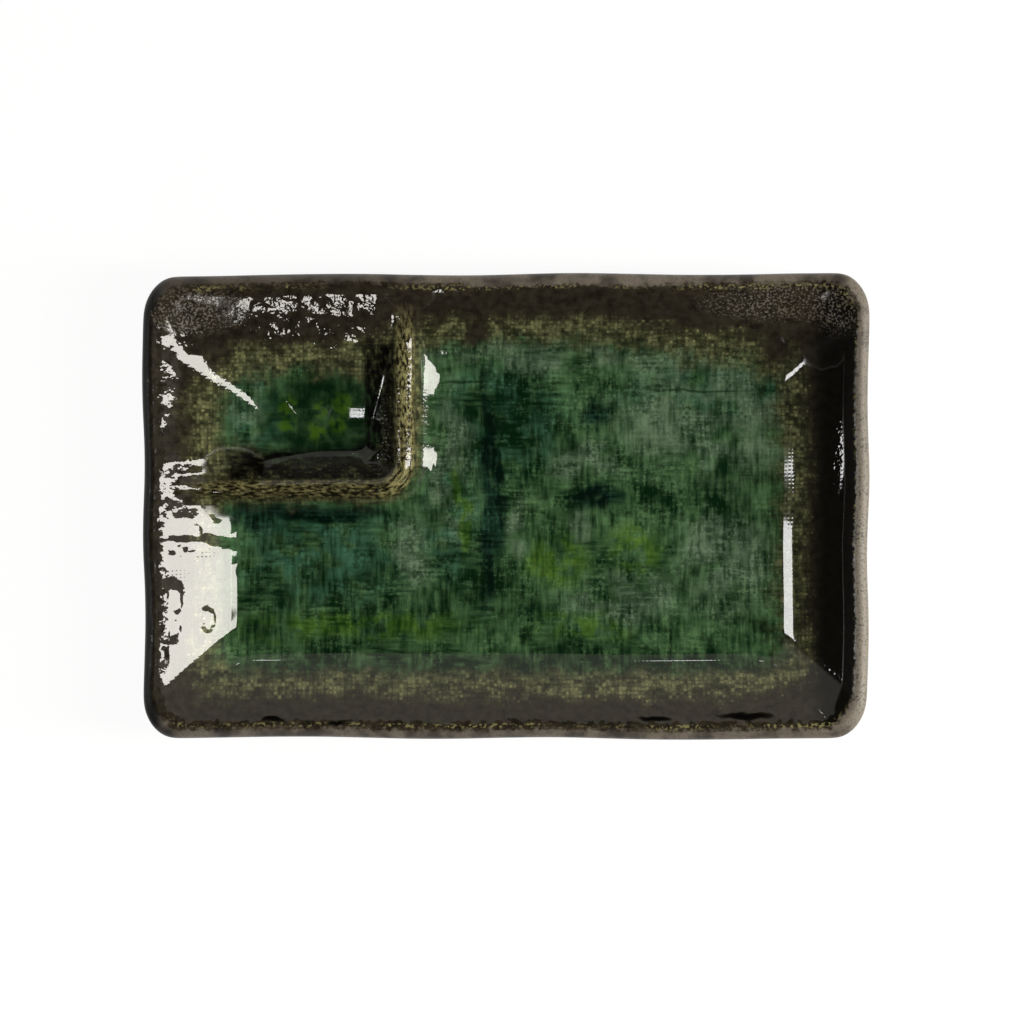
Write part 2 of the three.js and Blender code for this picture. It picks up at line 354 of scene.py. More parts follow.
def press_by_hand(mesh):
    """Moves the rim out of true as the solids' rim is, and centres the plate on its footprint."""
    points = read_points(mesh)
    place_x = points[:, 0] / (PLATE_LENGTH / 2)
    place_y = points[:, 1] / (PLATE_WIDTH / 2)
    turn = np.arctan2(place_y, place_x)
    corners = CORNER_STRAY * np.cos(turn - STRAY_CORNER)
    ripples = EDGE_STRAY * np.sin(RIPPLES * turn + RIPPLE_START)
    stray = (corners + ripples) * points[:, 2] / RIM_Z
    points[:, 0] += stray * place_x
    points[:, 1] += stray * place_y
    middle = (points.min(0) + points.max(0)) / 2
    points[:, :2] -= middle[:2]
    write_points(mesh, points)


def unevenness(mesh):
    """Lays soft waves in the coat, quicker on the upper walls, and none at the lip or the base."""
    points = read_points(mesh)
    normals = read_normals(mesh)
    below_lip = soft_step(RIM_Z - WAVES_BELOW_LIP[0], RIM_Z - WAVES_BELOW_LIP[1], points[:, 2])
    inside = soft_step(-0.2, 0.2, normals[:, 2]) * below_lip
    upper = soft_step(FLOOR_Z + RIM_WAVE_ABOVE_FLOOR, RIM_Z - RIM_WAVE_BELOW_RIM, points[:, 2])
    push = SLOW_WAVE[0] * cloud(points, SLOW_WAVE[1], 1)
    push += QUICK_WAVE[0] * cloud(points, QUICK_WAVE[1], 2)
    push += RIM_WAVE[0] * cloud(points, RIM_WAVE[1], 4) * upper
    write_points(mesh, points + normals * (push * inside)[:, None])


def glaze_coat():
    coat = pressed_tray()
    raise_divider(coat.data)
    press_by_hand(coat.data)
    unevenness(coat.data)
    bpy.ops.object.shade_smooth()
    return coat


# The bare foot

def bare_foot():
    """The foot ring with its sharp edges rubbed round."""
    deselect_all()
    foot = bpy.data.objects.new("bare_foot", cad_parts["foot_ring"].data.copy())
    bpy.context.scene.collection.objects.link(foot)
    bpy.context.view_layer.objects.active = foot
    foot.select_set(True)
    bpy.ops.object.mode_set(mode="EDIT")
    bpy.ops.mesh.select_all(action="SELECT")
    bpy.ops.mesh.remove_doubles(threshold=WELD_DISTANCE)
    bpy.ops.object.mode_set(mode="OBJECT")
    rounding = {"width": FOOT_ROUNDING, "segments": FOOT_STEPS}
    apply_modifier(foot, "BEVEL", limit_method="ANGLE", angle_limit=SHARP_EDGE, **rounding)
    bpy.ops.object.shade_smooth_by_angle(angle=SMOOTH_EDGE)
    foot.data.materials.clear()
    return foot


# Shader helpers

def paint(red, green, blue):
    """A colour as it looks, on the scale to 255, for a shader."""
    shares = [channel / 255 for channel in (red, green, blue)]
    return (*[s / 12.92 if s <= 0.04045 else ((s + 0.055) / 1.055) ** 2.4 for s in shares], 1)


class Brush:
    """Adds nodes to one shader tree and joins them. Lengths are in millimetres."""

    def __init__(self, tree):
        self.nodes = tree.nodes
        self.links = tree.links

    def put(self, kind, inputs, **settings):
        node = self.nodes.new(kind)
        for name, value in settings.items():
            setattr(node, name, value)
        for key, value in inputs.items():
            if isinstance(value, bpy.types.NodeSocket):
                self.links.new(value, node.inputs[key])
            else:
                node.inputs[key].default_value = value
        return node

    def place(self):
        """Where a point lies on the piece, in millimetres."""
        where = self.put("ShaderNodeTexCoord", {}).outputs["Object"]
        return self.stretch(where, (1 / MM,) * 3, (0, 0, 0))

    def stretch(self, vector, scale, shift):
        inputs = {0: vector, 1: scale, 2: shift}
        return self.put("ShaderNodeVectorMath", inputs, operation="MULTIPLY_ADD").outputs[0]

    def kept(self, name):
        """A number that the mesh keeps for each point."""
        return self.put("ShaderNodeAttribute", {}, attribute_name=name).outputs["Fac"]

    def maths(self, operation, first, second=0.0):
        return self.put("ShaderNodeMath", {0: first, 1: second}, operation=operation).outputs[0]

    def times(self, first, *others):
        for other in others:
            first = self.maths("MULTIPLY", first, other)
        return first

    def most(self, first, *others):
        for other in others:
            first = self.maths("MAXIMUM", first, other)
        return first

    def total(self, *parts):
        """The sum of its parts, each a number or a pair of a number and its weight."""
        summed = 0.0
        for part in parts:
            value, weight = part if isinstance(part, tuple) else (part, 1.0)
            inputs = {0: value, 1: weight, 2: summed}
            summed = self.put("ShaderNodeMath", inputs, operation="MULTIPLY_ADD").outputs[0]
        return summed

    def rest(self, value):
        return self.maths("SUBTRACT", 1.0, value)

    def band(self, value, low, high):
        """Rises softly from 0 at low to 1 at high, or falls where low is the larger."""
        inputs = {"Value": value, "From Min": low, "From Max": high}
        return self.put("ShaderNodeMapRange", inputs, interpolation_type="SMOOTHSTEP").outputs[0]

    def between(self, value, start, full, fade, end):
        """A band that rises from start to full and falls from fade to end."""
        return self.times(self.band(value, start, full), self.band(value, end, fade))

    def cloud(self, vector, size, seed, detail=1.0, stretch=(1, 1, 1)):
        """Noise about 0.5, with lumps about one size across times the stretch."""
        scale = [1 / (size * share) for share in stretch]
        moved = self.stretch(vector, scale, [seed * step for step in SEED_STEP])
        inputs = {"Vector": moved, "Scale": 1.0, "Detail": detail}
        return self.put("ShaderNodeTexNoise", inputs).outputs

    def lumps(self, vector, size, seed, low, high, **settings):
        """A cloud turned into soft patches between 0 and 1."""
        return self.band(self.cloud(vector, size, seed, **settings)["Fac"], low, high)

    def waver(self, vector, size, reach, seed):
        """The place moved about by soft noise, for wavy outlines and threads."""
        push = self.cloud(vector, size, seed)["Color"]
        moved = self.stretch(push, (2 * reach, 2 * reach, 0), (-reach, -reach, 0))
        return self.put("ShaderNodeVectorMath", {0: vector, 1: moved}, operation="ADD").outputs[0]

    def mix(self, share, first, second):
        inputs = {0: share, 6: first, 7: second}
        return self.put("ShaderNodeMix", inputs, data_type="RGBA").outputs[2]

    def parts(self, vector):
        return self.put("ShaderNodeSeparateXYZ", {0: vector}).outputs

    def dabs(self, vector, spots):
        """Soft oval dabs, each given by its middle and its half sizes."""
        mask = 0.0
        for x, y, half_x, half_y in spots:
            scale = (1 / half_x, 1 / half_y, 0)
            near = self.stretch(vector, scale, (-x / half_x, -y / half_y, 0))
            away = self.put("ShaderNodeVectorMath", {0: near}, operation="LENGTH").outputs["Value"]
            mask = self.most(mask, self.band(away, 1.4, 0.5))
        return mask

    def group(self, tree, **inputs):
        return self.put("ShaderNodeGroup", inputs, node_tree=tree).outputs

    def bump(self, height):
        """A normal from a height in millimetres."""
        return self.put("ShaderNodeBump", {"Height": height, "Distance": MM}).outputs[0]


def material(name):
    """A fresh material with its brush and its Principled shader."""
    made = bpy.data.materials.new(name)
    made.use_nodes = True
    return made, Brush(made.node_tree), made.node_tree.nodes["Principled BSDF"]


def shader_group(name, outputs):
    """A new node group that takes a place and gives numbers, with its brush and the place."""
    tree = bpy.data.node_groups.new(name, "ShaderNodeTree")
    tree.interface.new_socket("Place", in_out="INPUT", socket_type="NodeSocketVector")
    for socket in outputs:
        tree.interface.new_socket(socket, in_out="OUTPUT", socket_type="NodeSocketFloat")
    brush = Brush(tree)
    return tree, brush, brush.put("NodeGroupInput", {}).outputs["Place"]


# Pressed cloth: threads that pass over and under, the knots between them, and chance by knot

THREAD = 1.2


def pressed_cloth():
    tree, brush, place = shader_group("pressed_cloth", ("Threads", "Knots", "Chance"))
    place = brush.waver(brush.waver(place, 26, 2.0, 1), 4, 0.2, 2)
    warp = brush.lumps(place, THREAD, 3, 0.3, 0.7, stretch=(0.8, 5, 30))
    weft = brush.lumps(place, THREAD, 4, 0.3, 0.7, stretch=(5, 0.8, 30))
    across = brush.parts(place)
    sine_x = brush.maths("SINE", brush.times(across[0], math.pi / THREAD))
    sine_y = brush.maths("SINE", brush.times(across[1], math.pi / THREAD))
    checker = brush.times(sine_x, sine_y)
    over = brush.band(checker, -0.8, 0.8)
    threads = brush.total((warp, over), (weft, brush.rest(over)))
    knots = brush.times(checker, checker)
    cell = brush.stretch(place, (1 / THREAD, 1 / THREAD, 0), (0, 0, 0))
    cell = brush.put("ShaderNodeVectorMath", {0: cell}, operation="FLOOR").outputs[0]
    chance = brush.put("ShaderNodeTexWhiteNoise", {"Vector": cell}).outputs["Value"]
    brush.put("NodeGroupOutput", {"Threads": threads, "Knots": knots, "Chance": chance})
    return tree


# Grit: fine specks and the broad wear that thins them

def fine_grit():
    tree, brush, place = shader_group("fine_grit", ("Specks", "Wear"))
    specks = brush.lumps(place, 0.75, 5, 0.5, 0.62, detail=2.0)
    wear = brush.lumps(place, 7, 6, 0.32, 0.64, detail=2.0)
    brush.put("NodeGroupOutput", {"Specks": specks, "Wear": wear})
    return tree


# The glaze: green in the wells, olive over the hollows, brown on the walls, dry at the rim

EMERALD_DARK = paint(8, 36, 14)
EMERALD_LIGHT = paint(106, 148, 98)
SEA_LIGHT = paint(86, 138, 108)
PALE_DARK = paint(17, 46, 23)
PALE_LIGHT = paint(124, 150, 120)
SPRING_DARK = paint(18, 52, 4)
SPRING_LIGHT = paint(102, 142, 44)
POOL_DARK = paint(3, 20, 13)
POOL_LIGHT = paint(58, 100, 76)
OLIVE_DARK = paint(29, 30, 19)
OLIVE_LIGHT = paint(124, 127, 88)
BROWN_DARK = paint(26, 23, 17)
BROWN_LIGHT = paint(66, 60, 48)
# Near black: painted shade on the right wall and the dip's side of the divider, painted reflection
# gaps, and the left rim
NEAR_BLACK = paint(8, 7, 5)
GOLD = paint(162, 156, 106)
CREST_DARK = paint(26, 24, 11)
RIM_DARK = paint(56, 50, 43)
RIM_LIGHT = paint(128, 118, 105)
BEIGE = paint(144, 135, 121)

# Dabs of glaze in the wells, and thin dabs of painted shade along the floor's edge, each its middle
# and its half sizes in millimetres
PALE_DABS = [
    (64, 28, 32, 20), (66, -12, 15, 22), (36, -28, 18, 9), (25, 14, 11, 6), (18, 46, 48, 5),
    (3.5, -8, 3, 10), (23, -7, 3.5, 9), (-17, 12, 7, 24), (-79, 28, 5, 12), (-28, -14, 6, 12),
]
SPRING_DABS = [
    (16, -16, 10, 7), (39, -13, 7, 8), (24, -37, 14, 4.5), (-46, -37, 34, 5), (-13, -2, 2, 17),
]
SPOT_DABS = [
    (-67, 30.5, 2.9, 3.8), (-57, 29.5, 2.7, 2.7), (-50, 31.5, 3.4, 3.8), (-58, 23, 3.3, 2.9),
    (-51.5, 25, 2.9, 3.0), (-67, 25, 2.9, 2.3),
]
SEA_DABS = [
    (-58, -17, 26, 13), (-17, -4, 8, 20), (0, 26, 20, 16), (-76, 28, 9, 14), (62, 34, 26, 10),
    (-58, -5, 26, 6),
]
# Darker, bluer dabs; the one at (-60, -2.4) darkens the floor along the foot of the divider's arm
POOL_DABS = [
    (-5.5, 4, 2.6, 36), (-3.5, -7, 4, 9), (28, 28, 4.5, 4.5), (28, 2, 8, 3), (-60, -2.4, 25, 2.4),
    (-78, -4, 6, 4),
]
DEEP_DABS = [
    (0, 23, 17, 16), (-12, -26, 9, 7), (69, 4, 9, 13), (-74, -26, 8, 6), (43, 4, 10, 4),
    (-54, 30, 17, 13), (0, -50, 110, 7),
]
# Painted shade: thin dark lines along the crease where the floor meets the +Y wall
CREASE_DABS = [(-13, 37.8, 9, 0.45), (60, 35.6, 14, 0.4)]
CALM_DABS = [(-57, 28, 22, 13)]

# Dabs on the walls: where the green's edge lies lower or higher, where a dim reflection is painted as
# plain brown, where gaps in the reflection are painted near black, and where specks show
WOVEN_DABS = [(-94, 28, 15, 18)]
GREEN_DABS = [(-61, 30, 24, 14)]
BROWN_DABS = [(-72, 57, 36, 8), (-92, 47, 9, 8)]
# Painted reflection: dim reflections on the +Y wall and near its right end, painted as plain brown
DARK_REFLECTION_DABS = [(-8.5, 52, 3.4, 6), (83, 50, 5, 7)]
# Painted reflection gaps: near black patches on the front wall under the lip
REFLECTION_GAP_DABS = [
    (-70.8, -64.6, 3.4, 0.8), (-51, -65.4, 2.4, 0.7), (45, -64.2, 5, 0.9), (73, -63.6, 8, 1.1),
]
SPECK_DABS = [(86, 62, 24, 6), (101, 60, 8, 7), (-96, 60, 15, 7)]

# Dabs where the glaze is dull, ruffled or scratched
MATT_DABS = [
    (-83, 11, 9, 7), (97, 50, 7, 8), (90, 57, 8, 8), (-58, 0, 32, 6), (-29, 64, 7, 4),
    (-80.3, -15, 2.3, 11), (-35, 46, 4, 7), (-40.5, 22, 3, 5), (-51.2, 28.2, 3, 3),
    (81.8, 48.8, 3.4, 3.8),
]
GLINT_DABS = [
    (-60, 57, 26, 10), (-98, 58, 10, 10), (-105, -38, 2.5, 22), (-100, 6, 8, 9), (-104, 36, 4, 12),
]
SCRATCH_DABS = [(100.5, 16, 1.8, 15)]

# Where the left wall is lumpy: middle, half sizes and height in millimetres
LUMPS = [
    (-95, -14, 14, 4, 0.21),
    (-99, -7, 7, 7, 0.5),
    (-101, -28, 3, 5, 0.26),
    (-91, -34, 2.5, 3.4, 0.18),
    (-102, -37, 3, 4, 0.2),
    (-86, 4, 9, 9, 0.47),
]

# How much each layer lightens the floor's tone, and the span of tones from dark to light
TONE_SHARES = {
    "streaks": 1.2,
    "mottle": 1.0,
    "broad": 1.05,
    "weave": 0.5,
    "grain": 0.1,
    "pale": 0.14,
    "spring": 0.08,
    "deep": -0.26,
    "pool": -0.23,
    "spots": 0.22,
    "calm": 0.06,
}
TONE_START = -0.64
TONE_SPAN = (-0.05, 1.5)
CREASE_SHADE = -0.7

# The green's edge: its usual height, how far it wanders and frays, and its shifts, in millimetres
GREEN_EDGE = -3.5
EDGE_WANDER = 5.5
EDGE_FRAY = 2.5
EDGE_THREADS = -1.0
RIGHT_SHIFT = 2.2
TOP_SHIFT = -1.6
FRONT_SHIFT = -1.9
TOP_RIGHT_SHIFT = 3.2
WOVEN_SHIFT = -3.5
GREEN_SHIFT = -3.0
BROWN_SHIFT = 3.0

# Heights over the green's edge where one glaze gives way to the next, in millimetres
GREEN_TO_OLIVE = (1.0, 4.6)
OLIVE_TO_BROWN = (5.5, 10.5)
GOLD_FLECKS = (2.5, 4.5, 6.5, 12)

# Heights over the floor where the painted shade and reflection gaps, crust, the rim and the dull lip
# start, in millimetres
DARKENING_STARTS = (4, 7)
CRUST_STARTS = (6, 11)
RIM_LINE = (16.2, 16.7, 17.0, 17.4)
RIM_STARTS = (17.5, 18.1)
RIGHT_LIP = (13.5, 15.5)
FRAYED_LIP = (15.8, 16.3)
DULL_LIP = (16.4, 16.8)
LIP_FRAY = 4.0
KNOTS_START = (1, 4)

# Distances from the divider's crest, positive towards the main well, in millimetres
# Where the painted shade lies on the dip's side of the divider
SHADED_FLANK = (-13.5, -10.5, -3.4, -1.8)
GOLDEN_CREST = (-3.0, -1.4, 2.5, 4.0)
DULL_FLANK = (2.2, 3.2, 4.8, 5.8)

# How the glaze mirrors: roughness of the gloss and what dryness adds, and what dullness takes away
GLAZE_IOR = 1.6
GLOSS = 0.035
DRY_ROUGHNESS = 0.45
SPECULAR = 0.5
MATT_LOSS = -0.48

# Heights of the glaze's relief in millimetres
RUFFLE_HEIGHT = 0.24
SWELL_HEIGHT = 0.32
KNOT_HEIGHT = 0.004
PIT_HEIGHT = -0.05
SCRATCH_HEIGHT = 0.07
RUB_HEIGHT = 0.05


def well_paint(brush, place, x, threads, calm):
    """Pools of green over the pressed cloth, pale where the glaze is thin."""
    wavy = brush.waver(place, 14, 5, 7)
    thin = brush.lumps(place, 9, 8, 0.3, 0.56, detail=2.0)
    pale = brush.times(brush.dabs(wavy, PALE_DABS), thin)
    spring = brush.times(brush.dabs(wavy, SPRING_DABS), brush.lumps(place, 4, 9, 0.34, 0.6), 0.75)
    spots = brush.dabs(brush.waver(place, 5, 1.5, 40), SPOT_DABS)
    spots = brush.times(spots, brush.lumps(place, 2.2, 41, 0.28, 0.56))
    spring = brush.most(spring, spots)
    thick = brush.lumps(place, 7, 10, 0.2, 0.46, detail=2.0)
    pool = brush.times(brush.dabs(wavy, POOL_DABS), thick)
    deep = brush.dabs(wavy, DEEP_DABS)
    blue = brush.lumps(place, 6, 26, 0.34, 0.56, detail=2.0)
    sea = brush.times(brush.dabs(wavy, SEA_DABS), blue)
    light = brush.mix(sea, EMERALD_LIGHT, SEA_LIGHT)
    light = brush.mix(spring, brush.mix(pale, light, PALE_LIGHT), SPRING_LIGHT)
    dark = brush.mix(spring, brush.mix(pale, EMERALD_DARK, PALE_DARK), SPRING_DARK)
    upright = brush.cloud(place, 1.4, 11, detail=2.0, stretch=(0.9, 6, 30))["Fac"]
    level = brush.cloud(place, 1.4, 34, detail=2.0, stretch=(6, 0.9, 30))["Fac"]
    turned = brush.times(brush.lumps(place, 15, 35, 0.48, 0.6), brush.band(x, 66, 40))
    streaks = brush.total((upright, brush.rest(turned)), (level, turned), -0.5)
    streaks = brush.times(streaks, brush.total((calm, 0.65), 0.35))
    bare = brush.lumps(place, 7, 36, 0.4, 0.62, detail=2.0)
    shown = brush.total((bare, 0.6), (pale, 0.3), 0.12)
    weave = brush.times(brush.total(brush.band(threads, 0.35, 1.0), -0.25), shown, calm)
    layers = {
        "streaks": streaks,
        "mottle": brush.cloud(place, 4, 12, detail=2.0)["Fac"],
        "broad": brush.cloud(place, 12, 13, detail=2.0)["Fac"],
        "weave": weave,
        "grain": brush.cloud(place, 0.8, 32, stretch=(0.8, 1.6, 1))["Fac"],
        "pale": pale,
        "spring": spring,
        "deep": deep,
        "pool": pool,
        "spots": spots,
        "calm": calm,
    }
    tone = brush.total(*[(layers[name], share) for name, share in TONE_SHARES.items()], TONE_START)
    # Painted shade along the crease at the floor's edge
    crease = brush.dabs(brush.waver(place, 9, 1.2, 14), CREASE_DABS)
    tone = brush.times(brush.band(tone, *TONE_SPAN), brush.total((crease, CREASE_SHADE), 1.0))
    return brush.mix(tone, brush.mix(pool, dark, POOL_DARK), brush.mix(pool, light, POOL_LIGHT))


def green_edge(brush, place, x, y, rise, threads):
    """Height over the green's edge in millimetres, frayed, and shifted from place to place."""
    wander = brush.cloud(place, 8, 18, detail=2.0)["Fac"]
    fray = brush.cloud(place, 3, 38, detail=2.0)["Fac"]
    top_right = brush.times(brush.band(x, 20, 76), brush.band(y, 37, 46))
    return brush.total(
        rise,
        (wander, EDGE_WANDER),
        (fray, EDGE_FRAY),
        (threads, EDGE_THREADS),
        GREEN_EDGE,
        (brush.band(x, 70, 88), RIGHT_SHIFT),
        (brush.band(y, 38, 52), TOP_SHIFT),
        (brush.band(y, -36, -46), FRONT_SHIFT),
        (brush.dabs(place, WOVEN_DABS), WOVEN_SHIFT),
        (brush.dabs(place, GREEN_DABS), GREEN_SHIFT),
        (brush.dabs(place, BROWN_DABS), BROWN_SHIFT),
        (top_right, TOP_RIGHT_SHIFT),
    )


def wall_paint(brush, place, zone, threads, knots, chance):
    """Olive over the hollow, where the cloth shows through, then brown."""
    patches = brush.lumps(place, 4, 15, 0.3, 0.66, detail=2.0)
    woven = brush.times(brush.total((threads, 0.8), 0.2), brush.total((knots, 0.3), 0.7))
    lit = brush.times(woven, brush.total((patches, 1.1), 0.25), brush.total((chance, 1.0), 0.55))
    olive = brush.mix(lit, OLIVE_DARK, OLIVE_LIGHT)
    grain = brush.lumps(place, 2.5, 16, 0.1, 0.9, detail=3.0)
    brown = brush.mix(grain, BROWN_DARK, BROWN_LIGHT)
    # Painted reflection: plain brown without weave or gold flecks where a dim reflection shows
    dark_reflection = brush.dabs(brush.waver(place, 3, 0.6, 17), DARK_REFLECTION_DABS)
    colour = brush.mix(brush.most(brush.band(zone, *OLIVE_TO_BROWN), dark_reflection), olive, brown)
    density = brush.times(brush.between(zone, *GOLD_FLECKS), brush.total((patches, 0.34), 0.06))
    shown = brush.band(brush.total(chance, density), 1.0, 1.3)
    rough_edge = brush.lumps(place, 0.7, 27, 0.35, 0.6)
    flecks = brush.times(brush.band(knots, 0.05, 0.8), shown, rough_edge, brush.rest(dark_reflection))
    return brush.mix(flecks, colour, GOLD)


def divider_paint(brush, x, y, rise, colour, crest, ridge, threads):
    """Painted shade along the dip's side of the divider, broken by streaks, and gold where its crest's
    glaze thins, with a painted highlight that brightens the gold on the arm facing the right-hand
    lamp.
    """
    along_arm = brush.total(x, (y, -1.0), (crest, -1.0))
    ways = {0: crest, 1: along_arm, 2: brush.total(x, y)}
    along = brush.put("ShaderNodeCombineXYZ", ways).outputs[0]
    runs = brush.lumps(along, 1.5, 19, 0.68, 0.4, detail=2.0, stretch=(0.8, 2.6, 3.6))
    # Painted shade: near black along the dip's side of the divider's arms, broken by streaks
    shade_zone = brush.times(brush.band(y, 54, 48), brush.band(x, -91, -82), brush.band(rise, 16, 14))
    flank = brush.times(shade_zone, brush.between(crest, *SHADED_FLANK))
    colour = brush.mix(brush.times(flank, brush.total((runs, 0.35), 0.65)), colour, NEAR_BLACK)
    lines = brush.lumps(along, 1.0, 20, 0.36, 0.70, detail=3.0, stretch=(0.7, 2.4, 3.6))
    # Painted highlight: the crest's gold flecks are brighter on the arm that faces the right-hand lamp
    lamp_side_highlight = brush.total((brush.band(x, -40, -34), 0.85), 0.8)
    flecks = brush.times(lines, brush.total((threads, 0.6), 0.4), lamp_side_highlight)
    golden = brush.times(ridge, brush.between(crest, *GOLDEN_CREST))
    return brush.mix(golden, colour, brush.mix(flecks, CREST_DARK, GOLD))


def rim_line_paint(brush, place, x, rise, colour):
    """A broken line of gold under the lip, where the brown runs thin."""
    line = brush.times(brush.between(rise, *RIM_LINE), brush.band(x, -104, -98))
    breaks = brush.lumps(place, 1.0, 22, 0.52, 0.62)
    gaps = brush.lumps(place, 12, 28, 0.35, 0.6)
    return brush.mix(brush.times(line, breaks, gaps, 0.7), colour, GOLD)


def rim_mask(brush, place, x, y, rise):
    """Where the lip is dry, with a ragged edge that reaches further in where it is worn."""
    worn_top = brush.times(brush.band(y, 58, 64), brush.between(x, -18, -6, 40, 62))
    worn_end = brush.times(brush.band(x, 95, 104), brush.band(y, 62, 48))
    crumbs = brush.cloud(place, 1.5, 23)["Fac"]
    ragged = brush.total(rise, crumbs, (worn_end, 0.5), (worn_top, 0.35))
    return brush.band(ragged, *RIM_STARTS)


def rim_paint(brush, x, y, specks, wear):
    """Dry glaze over the lip, paler on the right as painted light where the right-hand lamp falls,
    with painted shade at the top left, and near black on the left.
    """
    shaded = brush.times(brush.band(y, 58, 66), brush.band(x, -20, -45))
    colour = brush.mix(brush.times(wear, brush.total((shaded, -0.5), 1.0)), RIM_DARK, RIM_LIGHT)
    # Painted light: beige over the right end of the rim, where the right-hand lamp falls
    right_lamp_light = brush.times(brush.band(x, 102, 107), brush.total((brush.band(y, 5, 40), -0.45), 1.0))
    colour = brush.mix(right_lamp_light, colour, BEIGE)
    grime = brush.times(specks, brush.total((right_lamp_light, 0.4), 0.6), brush.total((wear, -0.55), 1.0))
    colour = brush.mix(grime, colour, RIM_DARK)
    return brush.mix(brush.band(x, -102, -106), colour, NEAR_BLACK)


def dull_places(brush, place, x, rise, crest, rim, reflection_gaps):
    """Where the glaze mirrors little: under the lip, at the divider's foot and in patches."""
    fray = brush.cloud(place, 2.4, 42, detail=2.0)["Fac"]
    frayed = brush.total(rise, (fray, LIP_FRAY), -LIP_FRAY / 2)
    right_lip = brush.times(brush.band(x, 98, 102), brush.band(rise, *RIGHT_LIP))
    lip = brush.most(right_lip, brush.band(frayed, *FRAYED_LIP), brush.band(rise, *DULL_LIP))
    arm = brush.times(brush.between(crest, *DULL_FLANK), brush.band(rise, 12, 10))
    patches = brush.dabs(brush.waver(place, 4, 1.2, 37), MATT_DABS)
    matt = brush.band(brush.most(patches, lip, reflection_gaps, arm), 0.2, 0.55)
    left_rim = brush.times(brush.band(x, -105, -107), 0.55)
    return brush.most(brush.times(matt, brush.rest(rim)), left_rim)


def glaze_relief(brush, place, rise, ridge, knots, speckled):
    """Height of the glaze in millimetres: ruffles, threads, pits, scratches and lumps."""
    ruffles = brush.cloud(place, 2.6, 24, detail=2.0)["Fac"]
    swells = brush.lumps(place, 7, 29, 0.36, 0.7)
    lumpy = brush.total((ruffles, RUFFLE_HEIGHT), (swells, SWELL_HEIGHT))
    scratches = brush.cloud(place, 1.8, 39, detail=2.0)["Fac"]
    rubbing = brush.cloud(place, 1.2, 25, detail=2.0)["Fac"]
    wavy = brush.waver(place, 5, 1.4, 31)
    return brush.total(
        brush.times(lumpy, brush.dabs(place, GLINT_DABS)),
        (brush.times(knots, brush.band(rise, *KNOTS_START)), KNOT_HEIGHT),
        (speckled, PIT_HEIGHT),
        (brush.times(scratches, brush.dabs(place, SCRATCH_DABS)), SCRATCH_HEIGHT),
        (brush.times(rubbing, ridge), RUB_HEIGHT),
        *[(brush.dabs(wavy, [spot]), height) for *spot, height in LUMPS],
    )


def glaze_finish(cloth, grit):
    """The whole coat: colour by height and place, then its dullness and its relief."""
    made, brush, shader = material("green_and_brown_glaze")
    place = brush.place()
    x, y, _ = brush.parts(place)
    rise = brush.kept("rise")
    crest = brush.kept("crest")
    ridge = brush.kept("ridge")
    threads, knots, chance = brush.group(cloth, Place=place)
    specks, wear = brush.group(grit, Place=place)

    zone = green_edge(brush, place, x, y, rise, threads)
    calm = brush.band(brush.dabs(place, CALM_DABS), 0.8, 0.2)
    well = well_paint(brush, place, x, threads, calm)
    wall = wall_paint(brush, place, zone, threads, knots, chance)
    colour = brush.mix(brush.band(zone, *GREEN_TO_OLIVE), well, wall)
    on_wall = brush.band(rise, *DARKENING_STARTS)
    # Painted reflection gaps: near black patches under the front lip, where the reflection breaks
    reflection_gaps = brush.times(brush.dabs(brush.waver(place, 5, 1.5, 21), REFLECTION_GAP_DABS), on_wall)
    # Painted shade: near black over the right wall, which faces away from the right-hand lamp and
    # mirrors the dark room, joined with the painted reflection gaps
    painted_shade_and_gaps = brush.most(brush.times(brush.band(x, 91, 98), on_wall, 0.85), reflection_gaps)
    colour = brush.mix(painted_shade_and_gaps, colour, NEAR_BLACK)
    colour = divider_paint(brush, x, y, rise, colour, crest, ridge, threads)
    crust = brush.times(brush.dabs(place, SPECK_DABS), brush.band(rise, *CRUST_STARTS))
    speckled = brush.times(crust, specks)
    colour = brush.mix(brush.times(speckled, 0.55), colour, BEIGE)
    colour = rim_line_paint(brush, place, x, rise, colour)
    rim = rim_mask(brush, place, x, y, rise)
    colour = brush.mix(rim, colour, rim_paint(brush, x, y, specks, wear))
    brush.links.new(colour, shader.inputs["Base Color"])

    matt = dull_places(brush, place, x, rise, crest, rim, reflection_gaps)
    crumbly = brush.most(brush.times(speckled, 0.8), brush.times(crust, 0.3))
    dry = brush.most(rim, crumbly, brush.times(matt, 0.7))
    brush.links.new(brush.total((dry, DRY_ROUGHNESS), GLOSS), shader.inputs["Roughness"])
    specular = brush.total((matt, MATT_LOSS), SPECULAR)
    brush.links.new(specular, shader.inputs["Specular IOR Level"])
    shader.inputs["IOR"].default_value = GLAZE_IOR
    relief = glaze_relief(brush, place, rise, ridge, knots, speckled)
    brush.links.new(brush.bump(relief), shader.inputs["Normal"])
    return made


# Bare fired clay

CLAY_DARK = paint(112, 92, 74)
CLAY_LIGHT = paint(152, 130, 108)
GRIT = paint(58, 46, 38)
CLAY_ROUGHNESS = 0.85
GRAIN_HEIGHT = 0.06
GRIT_HEIGHT = -0.03


def clay_finish(grit):
    made, brush, shader = material("bare_clay")
    place = brush.place()
    specks, wear = brush.group(grit, Place=place)
    body = brush.mix(wear, CLAY_DARK, CLAY_LIGHT)
    brush.links.new(brush.mix(brush.times(specks, 0.6), body, GRIT), shader.inputs["Base Color"])
    shader.inputs["Roughness"].default_value = CLAY_ROUGHNESS
    rough = brush.cloud(place, 0.5, 33, detail=3.0)["Fac"]
    relief = brush.total((rough, GRAIN_HEIGHT), (specks, GRIT_HEIGHT))
    brush.links.new(brush.bump(relief), shader.inputs["Normal"])
    return made


# The studio

